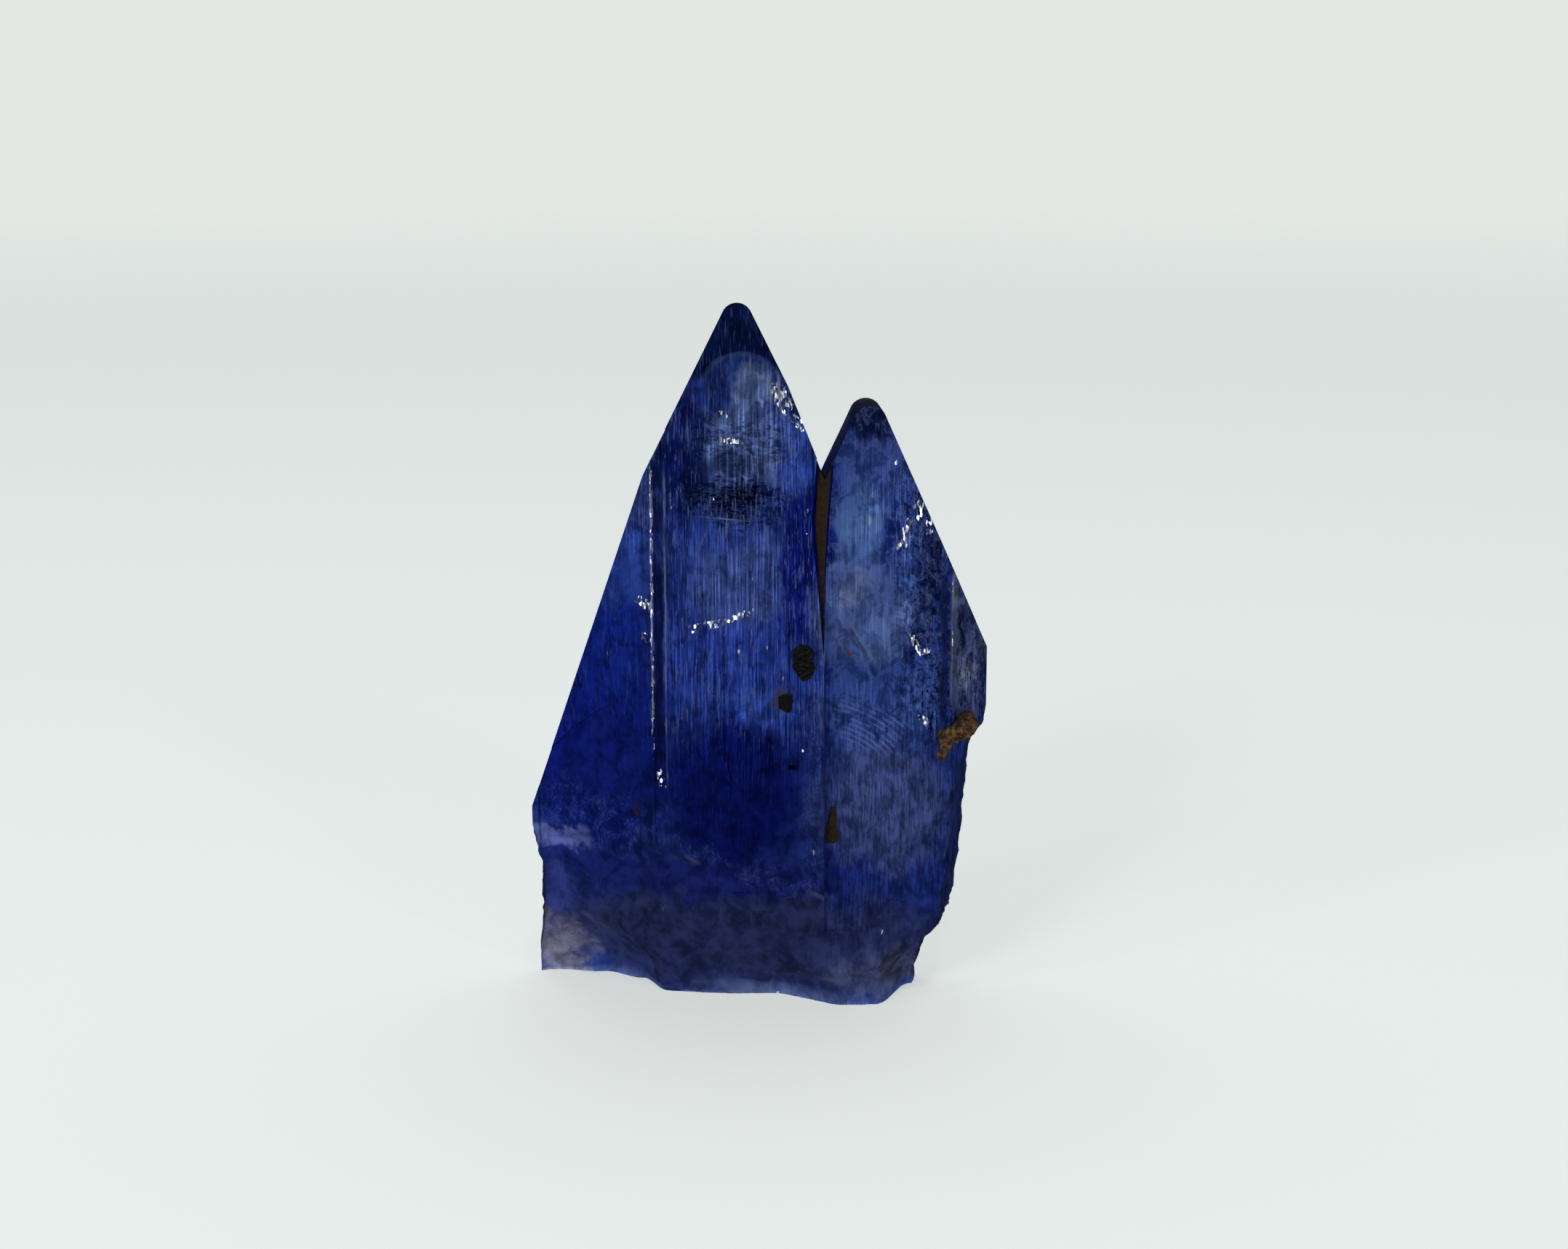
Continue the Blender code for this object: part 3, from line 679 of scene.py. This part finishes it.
def box(name, low, high):
    """A block between two corners."""
    only(None)
    middle = [(a + b) / 2 for a, b in zip(low, high)]
    size = [b - a for a, b in zip(low, high)]
    bpy.ops.mesh.primitive_cube_add(size=1.0, location=middle, scale=size)
    bpy.ops.object.transform_apply(location=True, rotation=False, scale=True)
    return added(name)


def plate(name, outline, near, far):
    """A flat outline of (X, Z) corners, drawn out from near to far along Y."""
    only(None)
    bpy.ops.mesh.primitive_circle_add(vertices=len(outline), radius=1.0, fill_type="NGON")
    obj = added(name)
    for vert, (across, up) in zip(obj.data.vertices, outline):
        vert.co = (across, near, up)
    edit(obj)
    bpy.ops.mesh.extrude_region_move(TRANSFORM_OT_translate={"value": (0.0, far - near, 0.0)})
    return outwards(obj)


def turn(obj, degrees, pivot):
    """Turns a piece about an upright line through pivot, clockwise as seen from above."""
    edit(obj)
    bpy.ops.transform.rotate(value=math.radians(degrees), orient_axis="Z", center_override=(*pivot, 0.0))
    leave_edit()
    return obj


def cut_away(obj, point, normal):
    """Cuts off what lies on the side that normal points to, and fills the cut."""
    edit(obj)
    normal = Vector(normal).normalized()
    bpy.ops.mesh.bisect(plane_co=point, plane_no=normal, use_fill=True, clear_outer=True, threshold=THIN)
    leave_edit()


def shape(obj, kind, **settings):
    """Gives obj a modifier with these settings, and applies it."""
    modifier = obj.modifiers.new(kind.lower(), kind)
    for key, value in settings.items():
        setattr(modifier, key, value)
    only(obj)
    bpy.ops.object.modifier_apply(modifier=modifier.name)


def clouds(name, basis="BLENDER_ORIGINAL", depth=3):
    """A texture whose grains are 1 mm across."""
    texture = bpy.data.textures.new(name, "CLOUDS")
    texture.noise_scale = 1.0
    texture.noise_depth = depth
    texture.noise_basis = basis
    return texture


def relief(obj, texture, size, strength, group="", direction="NORMAL", shift=(0.0, 0.0, 0.0), middle=0.5):
    """Displaces obj by a texture whose grains are size millimetres across on each axis."""
    guide = bpy.data.objects.new("texture_axes", None)
    bpy.context.scene.collection.objects.link(guide)
    guide.scale = size
    guide.location = shift
    bpy.context.view_layer.update()
    shape(
        obj, "DISPLACE", texture=texture, texture_coords="OBJECT", texture_coords_object=guide,
        direction=direction, strength=strength, mid_level=middle, vertex_group=group,
    )
    bpy.data.objects.remove(guide)


def weigh(obj, name, weight):
    """Fills a vertex group with weight(place, normal) for each corner."""
    group = obj.vertex_groups.new(name=name)
    for vert in obj.data.vertices:
        value = weight(vert.co, vert.normal)
        if value > 0.0:
            group.add([vert.index], value, "REPLACE")
    return name


def marked(obj, kind):
    """Marks all faces of a piece as grown, hackly or broken."""
    for name in KINDS:
        obj.data.materials.append(bpy.data.materials.get(name) or bpy.data.materials.new(name))
    for face in obj.data.polygons:
        face.material_index = kind
    return obj


def boolean(obj, other, operation):
    """Joins other to obj or cuts it out of obj, and checks that the result is closed."""
    shape(obj, "BOOLEAN", operation=operation, object=other, solver="MANIFOLD")
    met = {}
    for face in obj.data.polygons:
        for edge in face.edge_keys:
            met[edge] = met.get(edge, 0) + 1
    if not met or any(count != 2 for count in met.values()):
        raise RuntimeError(f"{other.name} left {obj.name} open or empty")
    bpy.data.objects.remove(other)


def slice_faces(obj, choose, cuts):
    """Cuts the faces that choose(face) picks along many planes, each an axis and a place on it."""
    only(obj)
    for face in obj.data.polygons:
        face.select = choose(face)
    bpy.ops.object.mode_set(mode="EDIT")
    bpy.ops.mesh.select_mode(type="FACE")
    bpy.ops.mesh.hide(unselected=True)
    for axis, where in cuts:
        normal = [0.0, 0.0, 0.0]
        normal[axis] = 1.0
        point = [where * n for n in normal]
        bpy.ops.mesh.select_all(action="SELECT")
        bpy.ops.mesh.bisect(plane_co=point, plane_no=normal, threshold=THIN)
    bpy.ops.mesh.reveal(select=False)
    leave_edit()


def steps(axis, low, high, step):
    """Cuts across an axis from low to high, as near step apart as fits."""
    count = max(1, round((high - low) / step))
    return [(axis, low + (high - low) * i / count) for i in range(1, count)]


def to_frame(obj, finish, replaced):
    """Takes a piece modelled in millimetres to the frame, and gives it its finish and its body."""
    only(obj)
    obj.scale = (MM, MM, MM)
    obj.location = AXES_AT
    bpy.ops.object.transform_apply(location=True, rotation=False, scale=True)
    obj.data.materials.clear()
    obj.data.materials.append(finish)
    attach(obj, "root")
    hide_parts(replaced)


def gable(obj, place, degrees, side, fall):
    """Cuts a sloping face at the top of a blade."""
    lean = math.radians(degrees)
    cut_away(obj, (place[0], 0.0, place[1]), (side * math.cos(lean), fall * math.sin(lean), math.sin(lean)))


def wear_ridge(obj, tip, gable_deg, radius, fall, cuts=9):
    """Rounds the ridge between two gable faces with narrow cuts that touch the round."""
    middle = tip[1] - radius / math.sin(math.radians(gable_deg))
    for i in range(1, cuts + 1):
        lean = math.radians(90.0 - gable_deg) * (2 * i / (cuts + 1) - 1)
        place = (tip[0] + radius * math.sin(lean), 0.0, middle + radius * math.cos(lean))
        cut_away(obj, place, (math.sin(lean), fall * math.cos(lean), math.cos(lean)))


def side_cut(obj, start, end):
    """Cuts upright along a line from start to end, seen from above, and keeps what lies on its left."""
    along = Vector(end) - Vector(start)
    cut_away(obj, (start[0], start[1], 0.0), (along.y, -along.x, 0.0))


def tall_blade():
    """The tall blade, with worn gables and a flat upright front."""
    blade = box("tall_blade", (*TALL_LOW, 0.0), (*TALL_HIGH, TALLEST))
    side_cut(blade, TALL_LEFT_FRONT, TALL_LEFT_INNER)
    side_cut(blade, (-2.6, TALL_HIGH[1]), (TALL_LOW[0], 5.0))
    for side in (-1, 1):
        gable(blade, TALL_TIP, TALL_GABLE_DEG, side, TALL_RIDGE_FALL)
    gable(blade, TALL_LEFT_KNEE, TALL_LEFT_KNEE_DEG, -1, TALL_RIDGE_FALL)
    gable(blade, TALL_RIGHT_KNEE, TALL_RIGHT_KNEE_DEG, 1, TALL_RIDGE_FALL)
    wear_ridge(blade, TALL_TIP, TALL_GABLE_DEG, TALL_WEAR, TALL_RIDGE_FALL)
    for place, tilt in TALL_BACK_FACETS:
        cut_away(blade, place, (tilt, 1.0, 0.75))
    cut_away(blade, (0.0, 7.0, 2.6), (0.1, 1.0, -0.45))
    return blade


def short_blade():
    """The short blade, with an inclined facet along its right side."""
    blade = box("short_blade", (*SHORT_LOW, 0.0), (*SHORT_HIGH, TALLEST))
    for start, end in zip(FRONT_LINE[-3:], FRONT_LINE[-2:]):
        side_cut(blade, start, end)
    side_cut(blade, (SHORT_RIGHT, 4.6), (6.1, SHORT_HIGH[1]))
    gable(blade, SHORT_TIP, SHORT_GABLE_DEG[0], -1, SHORT_RIDGE_FALL)
    gable(blade, SHORT_TIP, SHORT_GABLE_DEG[1], 1, SHORT_RIDGE_FALL)
    wear_ridge(blade, SHORT_TIP, SHORT_GABLE_DEG[0], SHORT_WEAR, SHORT_RIDGE_FALL)
    cut_away(blade, (0.0, 5.7, 21.6), (-0.1, 1.0, 0.6))
    cut_away(blade, (0.0, 6.1, 3.4), (0.1, 1.0, -0.4))
    return blade


def striated(blade, settings):
    """Cuts a blade's faces into columns and rows, and presses its growth striations into them."""
    marked(blade, GROWN)
    left, right = -8.4, 8.25
    rows = steps(2, 2.0, 26.5, settings.row)
    slice_faces(blade, lambda face: face.normal.y < -0.6, steps(0, left, right, settings.column) + rows)
    slice_faces(blade, lambda face: face.normal.y > 0.7, steps(0, left, right, 0.12) + rows)
    depths = steps(1, 0.0, TALL_HIGH[1], 0.3)
    slice_faces(blade, lambda face: abs(face.normal.y) < 0.55 and abs(face.normal.z) < 0.95, depths + rows)
    strong = [(8.0, 0.08), (11.5, 1.0), (20.0, 1.0), (25.0, 0.45)]
    front = weigh(blade, "front", lambda at, normal: between(at.z, strong) if normal.y < -0.6 else 0.0)
    back = weigh(blade, "back", lambda at, normal: 1.0 if normal.y > 0.7 else 0.0)
    depth = settings.stria_depth
    for group, width, length, share in (
        (front, 0.19, 17.0, 0.45),
        (front, 0.11, 6.0, 0.3),
        (front, 0.47, 30.0, 0.45),
        (back, 0.33, 12.0, -0.8),
        (back, 0.85, 30.0, -1.2),
    ):
        texture = clouds("striae", "CELL_NOISE", 0)
        shift = (width / 3, 0.0, length / 3)
        relief(blade, texture, (width, 900.0, length), depth * share, group, "Y", shift, 0.0)
    return blade


def break_depth(x, z):
    """The Y of the broken surface under the front faces: two slopes, with ripples about one point."""
    top = between(x, BREAK_LINE)
    if z > top:
        return -2.0
    face, foot = between(x, FRONT_FACE), between(x, FOOT_DEPTH)
    down = (top - z) / top
    ripple = 0.1 * math.sin(2.3 * math.hypot(x - 1.4, (z - 4.6) * 1.5))
    swell = 0.26 * math.sin(0.85 * x + 1.2) * math.sin(0.9 * z + 0.4)
    return face + (foot - face) * between(down, BREAK_SHAPE) + (ripple + swell) * min(1.0, 3.0 * down)


def foot_break(settings):
    """What is broken away in front of the foot: a sheet shaped to the break and drawn out to the front."""
    left, right, low, high, front = -10.0, 10.0, -1.0, 7.4, -5.0
    only(None)
    bpy.ops.mesh.primitive_grid_add(x_subdivisions=200, y_subdivisions=76, size=1.0)
    sheet = added("foot_break")
    for vert in sheet.data.vertices:
        x = left + (vert.co.x + 0.5) * (right - left)
        z = low + (vert.co.y + 0.5) * (high - low)
        vert.co = (x, break_depth(x, z), z)
    for name, size, share in (("break_large", 1.1, 0.8), ("break_fine", 0.35, 0.45)):
        strength = settings.break_relief * share
        relief(sheet, clouds(name, depth=4), (size * 1.6, size, size), strength, direction="Y")
    edit(sheet)
    bpy.ops.mesh.extrude_region_move(TRANSFORM_OT_translate={"value": (0.0, -1.0, 0.0)})
    bpy.ops.transform.resize(value=(1.0, 0.0, 1.0), center_override=(0.0, front, 0.0))
    return marked(outwards(sheet), BROKEN)


def flank_break(name, flank, outside, degrees, settings):
    """What is broken away beside a blade: an upright block with a rough inner side, turned a little."""
    outline = [(outside, flank[0][1]), *flank, (flank[-1][0], -1.0), (outside, -1.0)]
    block = marked(plate(name, outline, -4.0, 11.0), BROKEN)
    inner = [face.index for face in block.data.polygons if face.normal.x * outside < -0.05]
    cuts = steps(1, -3.0, 10.0, 0.2) + steps(2, 0.0, flank[0][1], 0.2)
    slice_faces(block, lambda face: face.index in inner, cuts)
    reach = abs(outside) - 3.0
    weigh(block, "inner", lambda at, normal: 1.0 if abs(at.x) < reach and -3.5 < at.y < 10.5 else 0.0)
    for size, share in ((0.8, 1.0), (0.28, 0.4)):
        relief(block, clouds(name), (size, size, size), settings.break_relief * share, "inner", "X")
    return turn(block, degrees, (flank[0][0], 2.0))


def step_block(name, outline, depth, column, row):
    """What is missing in front of a step, with its floor cut into columns and rows."""
    block = marked(plate(name, outline, -2.0, depth), HACKLY)
    across, up = zip(*outline)
    cuts = steps(0, min(across), max(across), column) + steps(2, min(up), max(up), row)
    slice_faces(block, lambda face: face.normal.y > 0.9, cuts)
    weigh(block, "floor", lambda at, normal: 1.0 if at.y > 0.0 else 0.0)
    return block


def rough_step(settings):
    """The step in the short blade's front, with an uneven floor drawn out along the striations."""
    block = step_block("short_step", SHORT_STEP, SHORT_STEP_DEPTH, 0.1, 0.22)
    relief(block, clouds("step_ribs"), (0.16, 1.0, 1.4), settings.break_relief * 0.35, "floor", "Y")
    relief(block, clouds("step_swells"), (1.4, 1.0, 1.6), settings.break_relief * 0.5, "floor", "Y")
    return block


def left_hackle(settings):
    """A thin scale off the lower left face."""
    pivot = TALL_LEFT_INNER
    block = step_block("left_hackle", LEFT_HACKLE, pivot[1] + LEFT_HACKLE_DEPTH, 0.14, 0.14)
    scales = clouds("scales", "VORONOI_F1", 1)
    relief(block, scales, (1.2, 1.0, 0.9), settings.break_relief * 0.35, "floor", "Y")
    slope = math.atan2(TALL_LEFT_FRONT[1] - pivot[1], pivot[0] - TALL_LEFT_FRONT[0])
    return turn(block, math.degrees(slope), pivot)


def chips(settings):
    """Small faceted chips along rows in the front faces, none touching another, as one cutter."""
    chance = random.Random(7)
    only(None)
    bpy.ops.mesh.primitive_ico_sphere_add(subdivisions=2, radius=0.5)
    first = added("chips")
    placed, pieces = [], []
    for start, end, count in CHIP_ROWS:
        for i in range(count):
            share = (i + chance.uniform(0.2, 0.8)) / count
            x = start[0] + (end[0] - start[0]) * share + chance.uniform(-0.08, 0.08)
            z = start[1] + (end[1] - start[1]) * share + chance.uniform(-0.08, 0.08)
            size = settings.chip * chance.uniform(0.5, 1.4)
            spread = (size * chance.uniform(0.7, 1.4), size * 0.7, size * chance.uniform(0.8, 1.8))
            if any(math.hypot(x - a, z - b) < 0.9 * (max(spread) + c) for a, b, c in placed):
                continue
            placed.append((x, z, max(spread) * 0.5))
            piece = first.copy()
            piece.data = first.data.copy()
            bpy.context.scene.collection.objects.link(piece)
            turned = (chance.uniform(-0.5, 0.5), chance.uniform(0.0, 6.0), chance.uniform(-0.5, 0.5))
            piece.rotation_euler = Euler(turned)
            piece.scale = spread
            piece.location = (x, between(x, FRONT_LINE, smooth=False) + 0.1 * size, z)
            pieces.append(piece)
    bpy.data.objects.remove(first)
    only(pieces[0])
    for piece in pieces:
        piece.select_set(True)
    bpy.ops.object.join()
    bpy.ops.object.transform_apply(location=True, rotation=True, scale=True)
    return marked(added("chips"), BROKEN)


def grain_block(name, swell=0.0):
    """An irregular grain, swell millimetres larger on each side than the grain that shows."""
    outline, near, far = GRAINS[name]
    block = plate(name + "_fine", outline, near - 0.4, far)
    shape(block, "REMESH", mode="VOXEL", voxel_size=0.05)
    flat = name == "graphite_flake"
    relief(block, clouds(name + "_lumps"), (0.45, 0.45, 0.45), 0.1 if flat else 0.34)
    relief(block, clouds(name + "_crumbs", depth=4), (0.13, 0.13, 0.13), 0.03 if flat else 0.07)
    if swell:
        edit(block)
        bpy.ops.transform.shrink_fatten(value=swell)
        leave_edit()
    return block


class TANZANITE_OT_crystal(bpy.types.Operator):
    """Models the two blades, grown together, with their striations, their steps and their broken foot"""

    bl_idname = "tanzanite.crystal"
    bl_label = "Crystal"

    def execute(self, context):
        settings = context.scene.tanzanite_blades
        crystal = striated(tall_blade(), settings)
        crystal.name = "tanzanite_blades"
        boolean(crystal, striated(short_blade(), settings), "UNION")
        cutters = [
            marked(plate("shelf", SHELF, -1.0, SHELF_DEPTH), GROWN),
            marked(plate("main_corner", MAIN_CORNER, -2.0, SHELF_DEPTH), GROWN),
            marked(plate("notch", NOTCH, -2.0, NOTCH_DEPTH), BROKEN),
            rough_step(settings),
            left_hackle(settings),
            flank_break("left_flank", LEFT_FLANK, -16.0, -8.0, settings),
            flank_break("right_flank", RIGHT_FLANK, 16.0, 10.0, settings),
            foot_break(settings),
            chips(settings),
        ]
        for name in GRAINS:
            pocket = grain_block(name, -0.01)
            pocket.name = name + "_pocket"
            cutters.append(marked(pocket, BROKEN))
        for cutter in cutters:
            boolean(crystal, cutter, "DIFFERENCE")

        roughest = len(KINDS) - 1
        broken = [1.0] * len(crystal.data.vertices)
        for kind in reversed(range(len(KINDS))):
            for face in crystal.data.polygons:
                if face.material_index == kind:
                    for index in face.vertices:
                        broken[index] = kind / roughest
        crystal.data.attributes.new("broken", "FLOAT", "POINT").data.foreach_set("value", broken)
        for face in crystal.data.polygons:
            face.material_index = 0
        crystal.vertex_groups.clear()
        only(crystal)
        bpy.ops.object.shade_smooth_by_angle(angle=math.radians(25.0))
        to_frame(crystal, tanzanite_finish(context.scene.tanzanite_finishes), "crystal")
        return {"FINISHED"}


class TANZANITE_OT_grains(bpy.types.Operator):
    """Models the graphite and the rusty matrix that sit in the crystal"""

    bl_idname = "tanzanite.grains"
    bl_label = "Grains"

    def execute(self, context):
        colours = context.scene.tanzanite_finishes
        graphite, rust = graphite_finish(colours), rust_finish(colours)
        for name in GRAINS:
            piece = grain_block(name)
            cut_away(piece, (0.0, GRAINS[name][1], 0.0), (0.0, -1.0, 0.0))
            bpy.ops.object.shade_smooth_by_angle(angle=math.radians(35.0))
            if name.startswith("graphite"):
                to_frame(piece, graphite, name)
            else:
                to_frame(piece, rust, name)
        inner = [
            (2.2 + (across - 2.2) * 0.72, min(17.0 + (up - 17.0) * 0.97, NOTCH_FILL_TOP))
            for across, up in NOTCH
        ]
        inner.insert(4, (2.28, NOTCH_FILL_TOP - 0.4))
        fill = plate("notch_fill", inner, SHORT_LOW[1] + 0.1, NOTCH_DEPTH - 0.05)
        slice_faces(fill, lambda face: True, steps(2, 13.0, 20.2, 0.12) + steps(0, 1.7, 2.7, 0.12))
        relief(fill, clouds("notch_crumbs", depth=4), (0.3, 0.3, 0.5), 0.08)
        bpy.ops.object.shade_smooth_by_angle(angle=math.radians(40.0))
        to_frame(fill, rust, "notch_matrix")
        return {"FINISHED"}


class TANZANITE_OT_stage(bpy.types.Operator):
    """Sets the pale floor, the soft light and the camera"""

    bl_idname = "tanzanite.stage"
    bl_label = "Stage"

    def execute(self, context):
        settings = context.scene.tanzanite_stage
        scene = context.scene
        only(None)
        bpy.ops.mesh.primitive_circle_add(vertices=128, radius=1.2, fill_type="NGON")
        floor = added("floor")
        floor.data.materials.append(floor_finish(settings))
        floor.visible_glossy = False
        scene.world = room_light(settings)

        for name, (place, size, power) in LAMPS.items():
            light = bpy.data.lights.new(name, "AREA")
            light.size = size
            light.energy = power
            lamp = bpy.data.objects.new(name, light)
            scene.collection.objects.link(lamp)
            lamp.location = place
            aim = Vector(LAMP_TARGET) - lamp.location
            lamp.rotation_euler = aim.to_track_quat("-Z", "Y").to_euler()

        data = bpy.data.cameras.new("camera")
        data.lens = settings.lens
        data.sensor_width = 36.0
        data.sensor_fit = "HORIZONTAL"
        data.clip_start, data.clip_end = 0.005, 20.0
        camera = bpy.data.objects.new("camera", data)
        scene.collection.objects.link(camera)
        target = AXES_AT + Vector(CAMERA_TARGET) * MM
        back = Vector((0.0, -math.cos(settings.elevation), math.sin(settings.elevation)))
        camera.location = target + back * settings.distance * MM
        camera.rotation_euler = (math.radians(90.0) - settings.elevation, 0.0, 0.0)
        scene.camera = camera
        scene.view_settings.view_transform = "Standard"
        for kind in ("max", "glossy", "transmission"):
            setattr(scene.cycles, kind + "_bounces", BOUNCES)
        return {"FINISHED"}


class TANZANITE_PT_panel(bpy.types.Panel):
    """Lists the settings and the pieces"""

    bl_idname = "TANZANITE_PT_panel"
    bl_label = "Tanzanite"
    bl_space_type = "VIEW_3D"
    bl_region_type = "UI"
    bl_category = "Tanzanite"

    def draw(self, context):
        for name, group in GROUPS.items():
            for key in group.__annotations__:
                self.layout.prop(getattr(context.scene, name), key)
        for operator in OPERATORS:
            self.layout.operator(operator.bl_idname)


OPERATORS = (TANZANITE_OT_crystal, TANZANITE_OT_grains, TANZANITE_OT_stage)
GROUPS = {
    "tanzanite_blades": BladeSettings,
    "tanzanite_finishes": FinishSettings,
    "tanzanite_stage": StageSettings,
}


def register():
    for item in (*GROUPS.values(), *OPERATORS, TANZANITE_PT_panel):
        bpy.utils.register_class(item)
    for name, group in GROUPS.items():
        setattr(bpy.types.Scene, name, bpy.props.PointerProperty(type=group))


def unregister():
    for name in GROUPS:
        delattr(bpy.types.Scene, name)
    for item in (TANZANITE_PT_panel, *reversed(OPERATORS), *GROUPS.values()):
        bpy.utils.unregister_class(item)


def main():
    register()
    bpy.ops.tanzanite.crystal()
    bpy.ops.tanzanite.grains()
    bpy.ops.tanzanite.stage()


if __name__ == "__main__":
    main()
